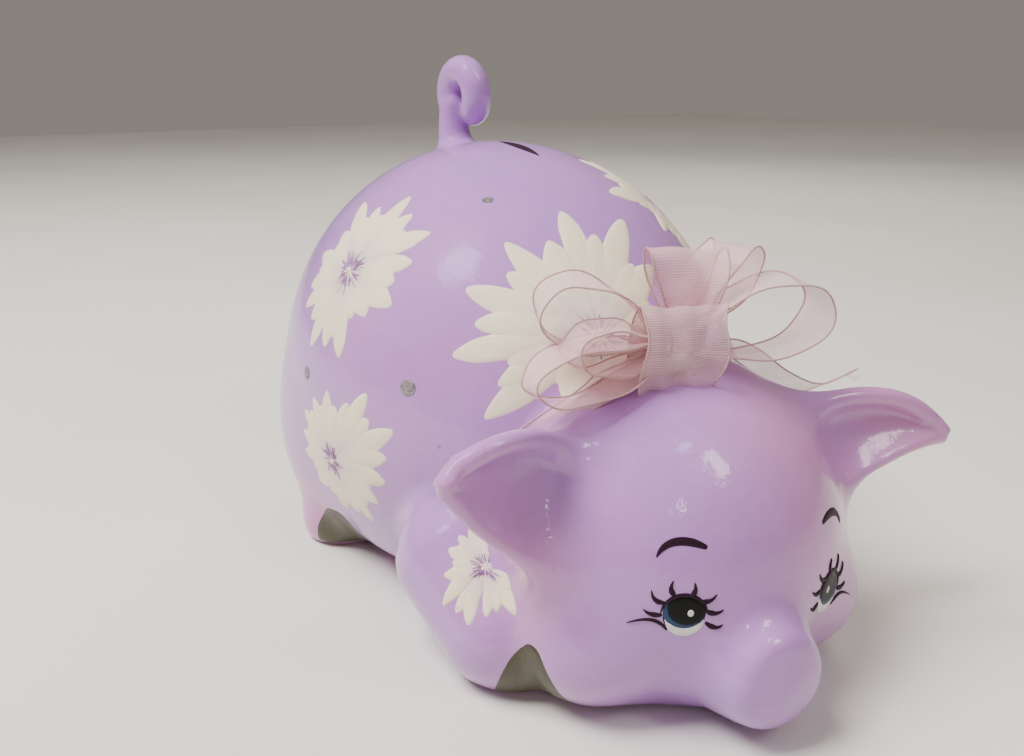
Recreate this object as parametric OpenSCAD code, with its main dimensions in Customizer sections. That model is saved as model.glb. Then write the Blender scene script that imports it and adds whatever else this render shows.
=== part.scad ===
// Ceramic piggy bank: a hollow slip casting crouching on its chin and hooves,
// with luted ears and tail, a rubber stopper in the belly and a ribbon bow on the neck.
// The pig faces -Y, its right side is -X, and the table is z = 0. Millimetres.

/* [Casting] */
// Half width of the round rump
rump_r = 92; // [86:1:96]
// Half length of the rump, front to back
rump_len = 111.5; // [106:0.5:114]
// Half height of the rump
rump_high = 102; // [98:1:104]
// Height of the rump's middle above the table
rump_z = 71; // [69:1:73]
// Thickness of the fired wall
wall = 5; // [4:0.5:6]
// Clearance under the belly
belly_gap = 3; // [2.5:0.5:4]
// Turn of the head towards the pig's right, degrees
head_turn = 10; // [6:1:12]
// Radius of the head
head_r = 66; // [64:1:67]

/* [Coin slot] */
// Length of the coin slot
slot_len = 31; // [29:1:33]
// Width of the coin slot at its middle
slot_w = 5.6; // [5:0.1:6]
// Distance from the top of the rump forward to the slot's middle
slot_fwd = 15; // [13:1:17]

/* [Stopper] */
// Radius of the emptying hole in the belly
hole_r = 16; // [14:0.5:18]
// Radial clearance of the stopper's neck in the hole
hole_gap = 0.05; // [0.02:0.01:0.1]
// Radius of the stopper's flange
flange_r = 20; // [19:0.5:22]
// Thickness of the stopper's flange
flange_t = 1.8; // [1.6:0.1:2]

/* [Tail] */
// Radius of the rolled clay
tail_r = 6; // [5.5:0.25:6.25]
// Radius of the tail's curl
curl_r = 9; // [8.5:0.25:9.5]

/* [Bow] */
// Width of the ribbon
ribbon_w = 25; // [22:1:28]
// Thickness the ribbon is given as a solid
ribbon_t = 0.8; // [0.6:0.1:1]

/* [Detail] */
// Rings along the casting's body
rings = 34; // [30:1:38]
// Points round each ring
spokes = 60; // [52:2:64]

/* [Hidden] */
head_c = [0, -108, 43];
head_high = head_r - 0.5;
neck_c = [0, -54, 68];
neck_r = [61, 64, 52];
haunch_c = [54, 26, 49];
haunch_r = [37.5, 47, 54];
hip_c = [54, 30, 30];
hip_r = 28;
foot_c = [72, 24, 9];
foot_r = 16;
shoulder_c = [63, -75, 32];
shoulder_r = 25;
paw_c = [64, -101, 18];
paw_r = 21;
toe_c = [58, -109, 13];
toe_r = 15;
cheek_c = [44, -26, -20];
cheek_r = [20, 24, 20];
muzzle_root = [0, -26, -12];
muzzle_end = [0, -60, -21.5];
muzzle_r = [31, 18.5];
snout_c = [0, -70, -18.5];
snout_r = 16;
snout_half = 6;
snout_edge = 4.5;
neck_blend = 23;
belly_blend = 16;
limb_blend = 9;
toe_blend = 8;
cheek_blend = 16;
muzzle_blend = 12;
snout_blend = 6;
head_blend = 5.5;
floor_round = 2.5;
nape = 60;
far = 150;
slot_y = -slot_fwd;
hole_y = 12;
recess_z = belly_gap + 2.2;
bow_c = [-7, -116, 116];
bow_turn = -20;
tail_route = [[1, -114, 112], [20, -111, 109.5], [38, -109, 102],
              [56, -110, 91], [74, -113, 83], [91, -117, 86]];
ear_cup = 9;
stem_y = 36;
curl_y = 31;
curl_z = 192;
curl_from = -40;
curl_sweep = 322;
curl_aside = 5;
stem_part = 0.16;

// Puts the middle of the whole object's box over the origin
module stand() {
    translate([-0.9, 36.4, 0]) children();
}

// ---- distance functions: negative inside, positive outside ----
function smin(a, b, k) =
    let (h = max(0, min(1, 0.5 + 0.5 * (b - a) / k)))
    b * (1 - h) + a * h - k * h * (1 - h);
function smax(a, b, k) = -smin(-a, -b, k);

function ball_d(p, c, r) =
    let (q = p - c,
         u = [q[0] / r[0], q[1] / r[1], q[2] / r[2]],
         k0 = norm(u),
         k1 = norm([u[0] / r[0], u[1] / r[1], u[2] / r[2]]))
    k1 < 1e-6 ? -min(r) : k0 * (k0 - 1) / k1;

function bar_d(p, a, b, ra, rb) =
    let (ab = b - a, t = max(0, min(1, ((p - a) * ab) / (ab * ab))))
    norm(p - a - t * ab) - ra - (rb - ra) * t;

// A disc with a rounded rim, its axis along Y
function disc_d(p, c, r, half, edge) =
    let (q = p - c,
         a = norm([q[0], q[2]]) - r + edge,
         b = abs(q[1]) - half + edge)
    norm([max(a, 0), max(b, 0)]) + min(max(a, b), 0) - edge;

// World point to head point, and back
function to_head(p) =
    let (q = p - head_c)
    [cos(head_turn) * q[0] - sin(head_turn) * q[1], sin(head_turn) * q[0] + cos(head_turn) * q[1], q[2]];
function from_head(q) =
    head_c + [cos(head_turn) * q[0] + sin(head_turn) * q[1],
              -sin(head_turn) * q[0] + cos(head_turn) * q[1], q[2]];

function trunk_d(p) =
    let (rump = ball_d(p, [0, 0, rump_z], [rump_r, rump_len, rump_high]))
    smax(smin(rump, ball_d(p, neck_c, neck_r), neck_blend), belly_gap - p[2], belly_blend);
function hind_d(m) =
    smin(ball_d(m, haunch_c, haunch_r), bar_d(m, hip_c, foot_c, hip_r, foot_r), limb_blend);
function fore_d(m) =
    smin(bar_d(m, shoulder_c, paw_c, shoulder_r, paw_r), norm(m - toe_c) - toe_r, toe_blend);
function head_d(q) =
    let (m = [abs(q[0]), q[1], q[2]],
         skull = smin(ball_d(q, [0, 0, 0], [head_r, head_r - 1, head_high]),
                      ball_d(m, cheek_c, cheek_r), cheek_blend),
         muzzle = smin(bar_d(q, muzzle_root, muzzle_end, muzzle_r[0], muzzle_r[1]),
                       disc_d(q, snout_c, snout_r, snout_half, snout_edge), snout_blend))
    smin(skull, muzzle, muzzle_blend);
function pig_d(p) =
    let (m = [abs(p[0]), p[1], p[2]],
         torso = smin(smin(trunk_d(p), hind_d(m), limb_blend), fore_d(m), limb_blend))
    smax(smin(torso, head_d(to_head(p)), head_blend), -p[2], floor_round);

// ---- skin: rays cast out from a line through the pig meet the outermost surface ----
function cast(o, d, t, level, tries) =
    let (f = pig_d(o + d * t) - level)
    (tries == 0 || abs(f) < 0.01) ? t : cast(o, d, max(0, t - f * 0.95), level, tries - 1);

// Stations: [point on the line, turn of the section]
function rump_line(n, start, half) =
    [for (i = [0 : n]) let (a = start + (114 - start) * i / n)
        [[0, half * cos(a), rump_z - 8 * (1 - cos(a)) / 2], 0]];
function head_line(n, stop) =
    [for (i = [1 : n])
        let (u = -nape + (stop + nape) * i / n, w = max(0, u) / 70, back = max(0, -u) / nape)
        [from_head([0, -u, snout_c[2] * w * w + 22 * back]), -head_turn * (1 - back)]];
function snap(p) = [p[0], p[1], p[2] < 0.06 ? 0 : p[2]];
function ring(st, m, level) =
    [for (j = [0 : m - 1])
        let (a = 360 * (j + 0.5) / m,
             d = [cos(a) * cos(st[1]), cos(a) * sin(st[1]), sin(a)])
        snap(st[0] + d * cast(st[0], d, far, level, 60))];

module skin(stations, m, level, first, last) {
    n = len(stations);
    pts = concat([first], [for (st = stations) each ring(st, m, level)], [last]);
    sides = [for (i = [0 : n - 2], j = [0 : m - 1])
        let (a = 1 + i * m + j, b = 1 + i * m + (j + 1) % m)
        each [[b, a, b + m], [b + m, a, a + m]]];
    caps = [for (j = [0 : m - 1])
        let (b = (j + 1) % m, e = 1 + (n - 1) * m)
        each [[0, j + 1, b + 1], [e + b, e + j, e + m]]];
    polyhedron(pts, concat(sides, caps));
}

module coin_slot() {
    half = slot_len / 2;
    arc = (half * half + slot_w * slot_w / 4) / slot_w;
    translate([0, slot_y, rump_z + 60]) intersection() {
        translate([arc - slot_w / 2, 0, 0]) cylinder(h = 60, r = arc, $fn = 128);
        translate([slot_w / 2 - arc, 0, 0]) cylinder(h = 60, r = arc, $fn = 128);
    }
}

module ceramic_body() {
    color("#b79cd2") difference() {
        skin(concat(rump_line(rings, 3, rump_len), head_line(rings, 75)), spokes, 0,
             [0, rump_len, rump_z], from_head(snout_c - [0, snout_half, 0]));
        skin(concat(rump_line(16, 8, rump_len - wall), head_line(14, 52)), spokes / 2, -wall,
             [0, rump_len - wall, rump_z], from_head([0, -57, -11.3]));
        coin_slot();
        translate([0, hole_y, -1]) cylinder(h = 20, r = hole_r, $fn = 96);
        translate([0, hole_y, -1]) cylinder(h = recess_z + 1, r = flange_r + 0.6, $fn = 96);
    }
}

// ---- ears: a leaf between two bent edges, cupped towards the front ----
function bend(a, b, c, t) = a * (1 - t) * (1 - t) + b * 2 * t * (1 - t) + c * t * t;

module ear(side, top, crown, low, belly, tip, cup) {
    n = 12;
    m = 8;
    function mid(s, u) =
        bend(low, belly, tip, s) * (1 - u) / 2 + bend(top, crown, tip, s) * (1 + u) / 2
        + [0, cup * (1 - u * u) * sin(30 + 150 * s), 0];
    function thick(s, u) = (5.5 - 2.5 * s) * (0.35 + 0.65 * sqrt(max(0, 1 - u * u)));
    function leaf(s) = concat(
        [for (j = [0 : m]) let (u = -1 + 2 * j / m) mid(s, u) + [0, thick(s, u) / 2, 0]],
        [for (j = [m : -1 : 0]) let (u = -1 + 2 * j / m) mid(s, u) - [0, thick(s, u) / 2, 0]]);
    k = 2 * m + 2;
    rows = [for (i = [0 : n]) leaf(0.985 * i / n)];
    pts = [for (r = rows) each [for (q = r) from_head([side * q[0], q[1], q[2]])]];
    sides = [for (i = [0 : n - 1], j = [0 : k - 1])
        let (a = i * k + j, b = i * k + (j + 1) % k)
        each (side < 0 ? [[a, b, b + k], [a, b + k, a + k]] : [[b, a, b + k], [b + k, a, a + k]])];
    ends = side < 0
        ? [for (j = [1 : k - 2]) each [[0, j + 1, j], [n * k, n * k + j, n * k + j + 1]]]
        : [for (j = [1 : k - 2]) each [[0, j, j + 1], [n * k, n * k + j + 1, n * k + j]]];
    polyhedron(pts, concat(sides, ends));
}

module ear_right() {
    color("#b093cc")
        ear(-1, [42, -13, 41], [72, -24, 70], [54, -26, 8], [80, -38, 24], [92.5, -30, 44], ear_cup);
}

module ear_left() {
    color("#b093cc")
        ear(1, [44, -15, 42], [84, -22, 58], [54, -26, 12], [76, -34, 22], [105, -30, 28.5], ear_cup);
}

// ---- tail: a rolled rope of clay curled into one loop ----
function curl_at(k) =
    let (a = curl_from + curl_sweep * k)
    [curl_aside * k * k, curl_y + curl_r * cos(a), curl_z + curl_r * sin(a)];
function tail_path(t) =
    t < stem_part
        ? bend([0, stem_y - 3, rump_z + 90], [0, stem_y + 3, rump_z + 100], curl_at(0), t / stem_part)
        : curl_at((t - stem_part) / (1 - stem_part));

module rope(pts, radii, m) {
    n = len(pts);
    function way(i) = let (d = pts[min(n - 1, i + 1)] - pts[max(0, i - 1)]) d / norm(d);
    rows = [for (i = [0 : n - 1])
        let (w = way(i), e = cross(w, abs(w[0]) > 0.8 ? [0, 1, 0] : [1, 0, 0]),
             u = e / norm(e), v = cross(w, u))
        [for (j = [0 : m - 1]) pts[i] + radii[i] * (u * cos(360 * j / m) + v * sin(360 * j / m))]];
    all_pts = [for (r = rows) each r];
    sides = [for (i = [0 : n - 2], j = [0 : m - 1])
        let (a = i * m + j, b = i * m + (j + 1) % m) each [[b, a, b + m], [b + m, a, a + m]]];
    e = (n - 1) * m;
    ends = [for (j = [1 : m - 2]) each [[0, j, j + 1], [e, e + j + 1, e + j]]];
    polyhedron(all_pts, concat(sides, ends));
}

module tail() {
    steps = 30;
    flare = 0.14;
    function radius(t) =
        tail_r + 2.5 * max(0, 1 - t / flare) - 3.6 * pow(max(0, t - 1 + flare) / flare, 2);
    color("#b093cc")
        rope([for (i = [0 : steps]) tail_path(i / steps)], [for (i = [0 : steps]) radius(i / steps)], 12);
}

// ---- stopper: a cupped rubber plug with a finger bar ----
module stopper() {
    neck_r_out = hole_r - hole_gap;
    color("#3b3a3f") translate([0, hole_y, 0]) {
        rotate_extrude($fn = 96) polygon([
            [neck_r_out - 4, recess_z - 0.1 - flange_t], [flange_r, recess_z - 0.1 - flange_t],
            [flange_r, recess_z - 0.1], [neck_r_out, recess_z - 0.1], [neck_r_out, 12.5],
            [neck_r_out - 1.2, 13.8], [0, 13.8], [0, 11.8], [neck_r_out - 4, 11.8]]);
        translate([-1.5, -neck_r_out + 3, 4]) cube([3, 2 * neck_r_out - 6, 8.4]);
    }
}

// ---- bow ----
module at_bow() {
    translate(bow_c) rotate([0, 0, bow_turn]) children();
}

// One loop of ribbon: a drop-shaped ring that leaves the knot along +X and comes back
function drop(len, high, n) =
    [for (i = [0 : n - 1]) let (a = 360 * i / n)
        [len * (1 - cos(a)) / 2, -high * sin(a) * pow(abs(sin(a / 2)), 0.7) / 2]];

module ribbon_loop(len, high, width) {
    shrink = 1 - 2 * ribbon_t / high;
    rotate([90, 0, 0]) linear_extrude(height = width, center = true) difference() {
        polygon(drop(len, high, 44));
        translate([ribbon_t * 1.5, 0]) polygon(drop(len - 2.5 * ribbon_t, high * shrink, 44));
    }
}

module loop_left_high() {
    color("#d7a9c4") at_bow() translate([-4, 0, 1]) rotate([0, -160, 0]) rotate([0, 0, 4])
        ribbon_loop(42, 28, ribbon_w * 0.7);
}

module loop_left_mid() {
    color("#d7a9c4") at_bow() translate([-4, -4, 0]) rotate([0, -176, 0]) rotate([0, 0, -12])
        ribbon_loop(34, 19, ribbon_w * 0.6);
}

module loop_left_low() {
    color("#d7a9c4") at_bow() translate([-4, -6, -1]) rotate([0, -188, 0]) rotate([0, 0, -10])
        ribbon_loop(48, 21, ribbon_w * 0.6);
}

module loop_top() {
    color("#d7a9c4") at_bow() translate([7, 2, 3]) rotate([0, 0, 84]) rotate([0, -78, 0])
        ribbon_loop(30, 13, ribbon_w);
}

module loop_top_right() {
    color("#d7a9c4") at_bow() translate([7, 2, 3]) rotate([0, 0, 30]) rotate([0, -40, 0])
        ribbon_loop(40, 15, ribbon_w * 0.8);
}

module loop_right() {
    color("#d7a9c4") at_bow() translate([4, -1, 0]) rotate([0, -10, 0]) rotate([0, 0, 4])
        ribbon_loop(54, 30, ribbon_w * 0.7);
}

module bow_centre_loop() {
    color("#cf9fbe") at_bow() translate([0, -8, -1]) rotate([0, 90, 0]) rotate([0, 0, 90])
        linear_extrude(height = ribbon_w + 3, center = true) difference() {
            scale([0.5, 1]) circle(d = 29, $fn = 64);
            scale([0.5, 1]) circle(d = 29 - 2.4 * ribbon_t, $fn = 64);
        }
}

// A ribbon tail lying on the casting: a strip between two edges
module strip(mids, wides, t) {
    n = len(mids);
    pts = [for (i = [0 : n - 1])
        let (w = wides[i], d = mids[min(n - 1, i + 1)] - mids[max(0, i - 1)],
             c = cross(d, w), up = c / norm(c) * t / 2)
        each [mids[i] - w / 2 - up, mids[i] + w / 2 - up, mids[i] + w / 2 + up, mids[i] - w / 2 + up]];
    sides = [for (i = [0 : n - 2], j = [0 : 3])
        let (a = i * 4 + j, b = i * 4 + (j + 1) % 4) each [[b, a, b + 4], [b + 4, a, a + 4]]];
    e = (n - 1) * 4;
    polyhedron(pts, concat(sides, [[0, 1, 2], [0, 2, 3], [e, e + 2, e + 1], [e, e + 3, e + 2]]));
}

// Lift a point of the head's surface: direction from the head's middle, degrees right and up
function on_head(az, el, lift) =
    let (d = [-sin(az) * cos(el), -cos(az) * cos(el), sin(el)],
         o = head_c, t = cast(o, d, far, lift, 60))
    o + d * t;

module bow_tail_left() {
    color("#d7a9c4") strip(
        [bow_c + [-3, -3, -5], for (i = [0 : 6]) on_head(76 + 4.5 * i, 68 - 6 * i, 2.4)],
        [for (i = [0 : 7]) [6, i * 1.3 - 15, 0]], ribbon_t);
}

module bow_tail_right() {
    color("#d7a9c4") strip(
        tail_route, [for (i = [0 : len(tail_route) - 1]) [3, 2 * i - 16, 5]], ribbon_t);
}

module glue_dab() {
    color("#e9e4d6") translate(bow_c - [0, 0, 6]) intersection() {
        scale([1, 1, 0.55]) sphere(r = 9, $fn = 40);
        translate([-10, -10, -6]) cube([20, 20, 9]);
    }
}

module bow_wire() {
    color("#c9a55c") at_bow() {
        rotate([0, 90, 0]) rotate_extrude($fn = 40) translate([4.6, 0]) circle(r = 0.5, $fn = 16);
    }
}

stand() ceramic_body();
stand() ear_right();
stand() ear_left();
stand() tail();
stand() stopper();
stand() glue_dab();
stand() bow_wire();
stand() loop_left_high();
stand() loop_left_mid();
stand() loop_left_low();
stand() loop_top();
stand() loop_top_right();
stand() loop_right();
stand() bow_centre_loop();
stand() bow_tail_right();
stand() bow_tail_left();
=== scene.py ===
"""A glazed ceramic piggy bank with painted daisies and an organza bow on its neck.

Shapes are worked out in millimetres in the pig's own frame (rump in the middle, the pig
faces -Y, its right side is -X, the table is z = 0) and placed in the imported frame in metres.
"""

import math

import bpy
import numpy as np
import openvdb
from mathutils import Matrix, Vector
from mathutils.bvhtree import BVHTree


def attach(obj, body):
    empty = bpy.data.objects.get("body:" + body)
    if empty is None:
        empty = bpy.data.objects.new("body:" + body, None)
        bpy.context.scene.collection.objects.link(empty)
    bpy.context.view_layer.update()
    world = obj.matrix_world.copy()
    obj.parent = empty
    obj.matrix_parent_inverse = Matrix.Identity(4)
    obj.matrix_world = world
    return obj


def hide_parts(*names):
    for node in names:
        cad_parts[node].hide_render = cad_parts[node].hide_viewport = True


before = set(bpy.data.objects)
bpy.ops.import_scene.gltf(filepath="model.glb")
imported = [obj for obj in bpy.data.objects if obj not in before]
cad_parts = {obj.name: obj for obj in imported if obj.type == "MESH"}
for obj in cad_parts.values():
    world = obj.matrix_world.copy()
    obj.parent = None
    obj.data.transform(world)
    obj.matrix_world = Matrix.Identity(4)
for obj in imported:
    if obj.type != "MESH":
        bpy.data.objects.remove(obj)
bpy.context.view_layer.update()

STAND = np.array([-0.9, 36.4, 0.0])  # the pig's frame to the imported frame, mm
BODY = "bank"


def metres(points):
    return (np.asarray(points, float) + STAND) * 0.001


def link(obj):
    bpy.context.scene.collection.objects.link(obj)


# ------------ camera
FOCAL_PX, FRAME_W = 900.0, 1024
camera_data = bpy.data.cameras.new("camera")
camera_data.sensor_width = 36.0
camera_data.lens = 36.0 * FOCAL_PX / FRAME_W
camera_data.clip_start = 0.01
camera = bpy.data.objects.new("camera", camera_data)
link(camera)
heading, pitch = math.radians(32.94), math.radians(-18.98)
forward = Vector((math.sin(heading) * math.cos(pitch), math.cos(heading) * math.cos(pitch), math.sin(pitch)))
camera.location = (-0.2077, -0.2930, 0.2018)
camera.rotation_mode = "QUATERNION"
camera.rotation_quaternion = forward.to_track_quat("-Z", "Y")
bpy.context.scene.camera = camera


# ------------ the pig as a distance field, mm
HEAD_C = np.array([0.0, -108.0, 43.0])
HEAD_TURN = math.radians(10)
WALL = 5.0
RUMP = (0, 0, 71), (92, 111.5, 102)  # centre and radii, as for the other balls
NECK = (0, -54, 68), (61, 64, 52)
HAUNCH = (54, 26, 49), (37.5, 47, 54)
HIND_LEG = (54, 30, 30), (72, 24, 9), 28, 16  # two ends and the radius at each
FORELEG = (63, -75, 32), (64, -101, 18), 25, 21
TOE_C, TOE_R = np.array([58.0, -109.0, 13.0]), 15
SKULL = (0, 0, 0), (66, 65, 65.5)  # this and the next three are in the head's own frame
CHEEK = (44, -26, -20), (20, 24, 20)
MUZZLE = (0, -26, -12), (0, -60, -21.5), 31, 18.5
SNOUT = (0, -70, -18.5), 16, 6, 4.5  # centre, radius, half its thickness, rounding
BELLY_GAP = 3


def smin(a, b, k):
    """The lesser of two distances, with the corner rounded over a width k."""
    h = np.clip(0.5 + 0.5 * (b - a) / k, 0, 1)
    return b * (1 - h) + a * h - k * h * (1 - h)


def smax(a, b, k):
    return -smin(-a, -b, k)


def ball(p, centre, radii):
    q, r = p - np.array(centre, float), np.array(radii, float)
    k0 = np.linalg.norm(q / r, axis=-1)
    k1 = np.linalg.norm(q / (r * r), axis=-1)
    return k0 * (k0 - 1) / np.maximum(k1, 1e-9)


def bar(p, a, b, ra, rb):
    a, b = np.array(a, float), np.array(b, float)
    t = np.clip(((p - a) @ (b - a)) / ((b - a) @ (b - a)), 0, 1)
    return np.linalg.norm(p - a - t[..., None] * (b - a), axis=-1) - (ra + (rb - ra) * t)


def disc(p, centre, radius, half, edge):
    q = p - np.array(centre, float)
    a = np.hypot(q[..., 0], q[..., 2]) - radius + edge
    b = np.abs(q[..., 1]) - half + edge
    return np.hypot(np.maximum(a, 0), np.maximum(b, 0)) + np.minimum(np.maximum(a, b), 0) - edge


def to_head(p):
    q, c, s = p - HEAD_C, math.cos(HEAD_TURN), math.sin(HEAD_TURN)
    return np.stack([c * q[..., 0] - s * q[..., 1], s * q[..., 0] + c * q[..., 1], q[..., 2]], -1)


def from_head(q):
    q, c, s = np.asarray(q, float), math.cos(HEAD_TURN), math.sin(HEAD_TURN)
    return HEAD_C + np.stack([c * q[..., 0] + s * q[..., 1], c * q[..., 1] - s * q[..., 0], q[..., 2]], -1)


def mirrored(p):
    m = p.copy()
    m[..., 0] = np.abs(m[..., 0])
    return m


def head_d(q):
    m = mirrored(q)
    skull = smin(ball(q, *SKULL), ball(m, *CHEEK), 16)
    muzzle = smin(bar(q, *MUZZLE), disc(q, *SNOUT), 6)
    return smin(skull, muzzle, 12)


def pig_d(p):
    m = mirrored(p)
    trunk = smin(ball(p, *RUMP), ball(p, *NECK), 23)
    trunk = smax(trunk, BELLY_GAP - p[..., 2], 16)
    haunch = smin(ball(m, *HAUNCH), bar(m, *HIND_LEG), 9)
    toe = np.linalg.norm(m - TOE_C, axis=-1) - TOE_R
    foreleg = smin(bar(m, *FORELEG), toe, 8)
    torso = smin(smin(trunk, haunch, 9), foreleg, 9)
    return smax(smin(torso, head_d(to_head(p)), 5.5), -p[..., 2], 2.5)


def slope(field, p, step=0.3):
    g = np.stack([field(p + step * e) - field(p - step * e) for e in np.eye(3)], -1)
    return g / np.maximum(np.linalg.norm(g, axis=-1, keepdims=True), 1e-9)


# ------------ mesh helpers
def new_mesh(name, points, faces, smooth=True):
    """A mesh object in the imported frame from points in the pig's frame, mm."""
    mesh = bpy.data.meshes.new(name)
    mesh.from_pydata(metres(points).tolist(), [], [list(map(int, f)) for f in faces])
    mesh.validate()
    if smooth:
        mesh.shade_smooth()
    obj = bpy.data.objects.new(name, mesh)
    link(obj)
    return obj


def bank_piece(name, points, faces, material):
    """A mesh object of one material that moves with the bank."""
    obj = new_mesh(name, points, faces)
    obj.data.materials.append(material)
    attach(obj, BODY)
    return obj


def merged(parts):
    """Several pairs of points and faces as one pair."""
    points, faces, count = [], [], 0
    for p, f in parts:
        points.append(p)
        faces += [[x + count for x in q] for q in f]
        count += len(p)
    return np.concatenate(points), faces


def grid_faces(n, m, wrap=False, start=0):
    """Quads over an n by m grid of points, m fastest; wrap joins the last column to the first."""
    i, j = np.meshgrid(np.arange(n - 1), np.arange(m if wrap else m - 1), indexing="ij")
    a, b = i * m + j, i * m + (j + 1) % m
    return (start + np.stack([a, b, b + m, a + m], -1)).reshape(-1, 4)


def add_uv(obj, uv):
    """The paint's own coordinates, one pair per point, for its brush strokes."""
    layer = obj.data.uv_layers.new(name="stroke")
    index = np.zeros(len(obj.data.loops), int)
    obj.data.loops.foreach_get("vertex_index", index)
    layer.data.foreach_set("uv", np.asarray(uv, np.float32)[index].ravel())


def tube(path, radius, sides=8):
    """Points and quads of a round tube along a path, closed with end caps."""
    path = np.asarray(path, float)
    n = len(path)
    radius = np.broadcast_to(radius, n)
    way = np.gradient(path, axis=0)
    way /= np.linalg.norm(way, axis=1, keepdims=True)
    side = np.cross(way[0], [0.3, 0.2, 0.93])
    side /= np.linalg.norm(side)
    turn = np.linspace(0, 2 * math.pi, sides, endpoint=False)
    points = []
    for i in range(n):
        side = side - way[i] * (side @ way[i])
        side /= np.linalg.norm(side)
        up = np.cross(way[i], side)
        points.append(path[i] + radius[i] * (np.outer(np.cos(turn), side) + np.outer(np.sin(turn), up)))
    faces = [list(f) for f in grid_faces(n, sides, wrap=True)]
    faces += [list(range(sides))[::-1], list(range((n - 1) * sides, n * sides))]
    return np.concatenate(points), faces


def path_length(path):
    return float(np.linalg.norm(np.diff(path, axis=0), axis=1).sum())


def bezier(controls, t):
    """A Bezier curve of any degree at the values t."""
    layers = [np.broadcast_to(np.asarray(c, float), (len(t), len(c))) for c in controls]
    while len(layers) > 1:
        layers = [a * (1 - t)[:, None] + b * t[:, None] for a, b in zip(layers, layers[1:])]
    return layers[0]


def smooth_path(points, steps):
    """A Catmull-Rom curve through the points."""
    p = np.asarray(points, float)
    p = np.concatenate([[2 * p[0] - p[1]], p, [2 * p[-1] - p[-2]]])
    s = np.linspace(0, len(p) - 3, steps)
    i = np.minimum(s.astype(int), len(p) - 4)
    t = (s - i)[:, None]
    a, b, c, d = p[i], p[i + 1], p[i + 2], p[i + 3]
    square, cube = 2 * a - 5 * b + 4 * c - d, 3 * b - a - 3 * c + d
    return 0.5 * (2 * b + (c - a) * t + square * t ** 2 + cube * t ** 3)


# ------------ node helpers
class Nodes:
    """A small wrapper that keeps material building short."""

    def __init__(self, name):
        self.material = bpy.data.materials.new(name)
        self.material.use_nodes = True
        self.tree = self.material.node_tree
        self.shader = self.tree.nodes["Principled BSDF"]

    def set(self, **values):
        for key, value in values.items():
            self.shader.inputs[key.replace("_", " ")].default_value = value

    def node(self, kind, **settings):
        n = self.tree.nodes.new(kind)
        for key, value in settings.items():
            if key in n.inputs:
                if hasattr(value, "bl_idname") or isinstance(value, bpy.types.NodeSocket):
                    self.tree.links.new(value, n.inputs[key])
                else:
                    n.inputs[key].default_value = value
            else:
                setattr(n, key, value)
        return n

    def link(self, a, b):
        self.tree.links.new(a, b if isinstance(b, bpy.types.NodeSocket) else self.shader.inputs[b])

    def position(self, scale=(1, 1, 1)):
        """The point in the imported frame, stretched by scale."""
        where = self.node("ShaderNodeTexCoord").outputs["Object"]
        return self.node("ShaderNodeMapping", Vector=where, Scale=scale).outputs["Vector"]

    def strokes(self, scale):
        where = self.node("ShaderNodeUVMap", uv_map="stroke").outputs["UV"]
        return self.node("ShaderNodeMapping", Vector=where, Scale=scale).outputs["Vector"]

    def noise(self, where, scale, detail=3.0, rough=0.55, distort=0.0):
        return self.node("ShaderNodeTexNoise", Vector=where, Scale=scale, Detail=detail,
                         Roughness=rough, Distortion=distort).outputs["Fac"]

    def ramp(self, factor, *stops):
        r = self.node("ShaderNodeValToRGB", Fac=factor)
        while len(r.color_ramp.elements) < len(stops):
            r.color_ramp.elements.new(0.5)
        for element, (at, colour) in zip(r.color_ramp.elements, stops):
            element.position, element.color = at, colour
        return r.outputs["Color"]

    def mix(self, factor, a, b):
        m = self.node("ShaderNodeMix", data_type="RGBA", blend_type="MIX")
        for socket, value in ((m.inputs[0], factor), (m.inputs[6], a), (m.inputs[7], b)):
            if isinstance(value, bpy.types.NodeSocket):
                self.tree.links.new(value, socket)
            else:
                socket.default_value = value
        return m.outputs[2]

    def span(self, value, low, high, from_low=0.0, from_high=1.0):
        r = self.node("ShaderNodeMapRange", Value=value)
        for key, x in (("From Min", from_low), ("From Max", from_high), ("To Min", low), ("To Max", high)):
            r.inputs[key].default_value = x
        return r.outputs["Result"]

    def bump(self, height, strength, distance, under=None):
        b = self.node("ShaderNodeBump", Height=height, Strength=strength, Distance=distance)
        if under is not None:
            self.link(under, b.inputs["Normal"])
        return b.outputs["Normal"]


def rgb(r, g, b):
    """An sRGB colour given 0 to 255, as linear RGBA."""
    linear = [(c / 255 / 12.92) if c <= 10 else ((c / 255 + 0.055) / 1.055) ** 2.4 for c in (r, g, b)]
    return (*linear, 1)


# ------------ materials
def glaze_material():
    n = Nodes("lilac_glaze")
    where = n.position()
    broad = n.noise(where, 9, 2, 0.5)
    brush = n.noise(n.position((60, 60, 180)), 1.6, 4, 0.6, 0.6)
    grain = n.noise(where, 900, 2, 0.5)
    base = n.ramp(broad, (0.34, rgb(170, 119, 200)), (0.50, rgb(182, 125, 198)), (0.66, rgb(204, 133, 188)))
    base = n.mix(n.span(brush, 0.0, 0.26), base, rgb(208, 166, 218))
    base = n.mix(n.span(grain, 0.0, 0.10, 0.4, 0.8), base, rgb(150, 110, 170))
    n.link(base, "Base Color")
    n.link(n.span(brush, 0.30, 0.46), "Roughness")
    orange_peel = n.noise(where, 210, 3, 0.55)
    ripple = n.noise(where, 60, 2, 0.5)
    first = n.bump(ripple, 0.35, 0.0011)
    second = n.bump(orange_peel, 0.30, 0.00045, first)
    n.link(second, "Normal")
    n.link(n.bump(n.noise(where, 620, 2), 0.35, 0.00012, second), "Coat Normal")
    n.set(Coat_Weight=0.85, Coat_Roughness=0.1, IOR=1.5, Specular_IOR_Level=0.4)
    return n.material


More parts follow.
